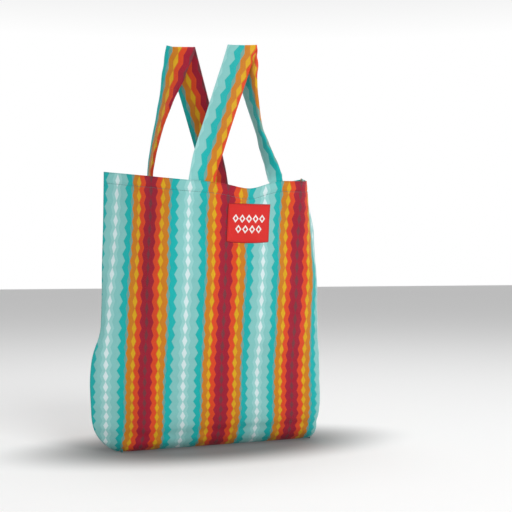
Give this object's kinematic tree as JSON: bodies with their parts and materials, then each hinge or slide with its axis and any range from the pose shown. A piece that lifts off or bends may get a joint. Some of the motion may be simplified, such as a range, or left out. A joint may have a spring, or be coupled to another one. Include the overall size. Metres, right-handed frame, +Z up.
{
  "type": "foldable tote bag",
  "caption": "Open tote bag in thin striped fabric with carrying straps, a woven patch, and an attached drawcord stuff pouch with a sprung cord lock hanging inside.",
  "frame": {"origin": "on the floor below the middle of the bag's base", "axes": "+Z up out of the mouth, -Y out of the front panel with the patch, +X to the right seen from the front"},
  "size_m": [0.394, 0.2004, 0.647],
  "materials": {
    "printed_nylon": "satin printed nylon",
    "strap_nylon": "satin printed nylon, folded and sewn",
    "pouch_nylon": "satin printed nylon",
    "woven_patch": "woven patch",
    "patch_thread": "thread",
    "seam_thread": "thread",
    "seam_binding": "bound seam tape",
    "black_tape": "woven tape",
    "black_cord": "braided cord",
    "black_plastic": "moulded, matte",
    "spring_wire": "drawn wire"
  },
  "bodies": {
    "shell": {"front_panel": "printed_nylon", "back_panel": "printed_nylon", "front_hem": "printed_nylon", "back_hem": "printed_nylon", "front_hem_stitching": "seam_thread", "back_hem_stitching": "seam_thread", "left_side_seam": "seam_binding", "right_side_seam": "seam_binding", "bottom_seam": "seam_binding", "left_corner_seam": "seam_binding", "right_corner_seam": "seam_binding", "front_left_strap_foot": "strap_nylon", "front_right_strap_foot": "strap_nylon", "back_left_strap_foot": "strap_nylon", "back_right_strap_foot": "strap_nylon", "front_strap_stitching": "seam_thread", "back_strap_stitching": "seam_thread", "front_label": "woven_patch", "front_label_stitching": "patch_thread", "tether_stub": "black_tape", "tether_stitching": "seam_thread"},
    "front_carry": {"front_strap": "strap_nylon"},
    "back_carry": {"back_strap": "strap_nylon"},
    "stuff_pouch": {"pouch_front": "pouch_nylon", "pouch_back": "pouch_nylon", "pouch_channel": "pouch_nylon", "pouch_seam": "seam_binding", "pouch_tether": "black_tape", "pouch_label": "woven_patch", "pouch_label_stitching": "patch_thread", "drawcord_loop": "black_cord", "drawcord_left_strand": "black_cord", "drawcord_right_strand": "black_cord", "drawcord_knot": "black_cord"},
    "cord_lock": {"cord_lock_barrel": "black_plastic", "cord_lock_spring": "spring_wire"},
    "lock_button": {"cord_lock_plunger": "black_plastic"}
  },
  "joints": [
    {"name": "front_strap_swing", "type": "hinge", "parent": "shell", "child": "front_carry", "pos_m": [0.013, -0.09766, 0.423], "axis": [1, 0, 0], "range_deg": [-6, 160]},
    {"name": "back_strap_swing", "type": "hinge", "parent": "shell", "child": "back_carry", "pos_m": [-0.007, 0.09766, 0.423], "axis": [-1, 0, 0], "range_deg": [-6, 160]},
    {"name": "pouch_swing", "type": "hinge", "parent": "shell", "child": "stuff_pouch", "pos_m": [0.01, 0.09273, 0.392], "axis": [-1, 0, 0], "range_deg": [0, 110]},
    {"name": "cord_lock_slide", "type": "slide", "parent": "stuff_pouch", "child": "cord_lock", "axis": [0, -0.124, -0.9923], "range_m": [0, 0.012]},
    {"name": "lock_button_press", "type": "slide", "parent": "cord_lock", "child": "lock_button", "axis": [-1, 0, 0], "range_m": [0, 0.0025], "stiffness_N_per_m": 400, "springref_m": -0.002, "deforming": ["cord_lock_spring"]}
  ]
}
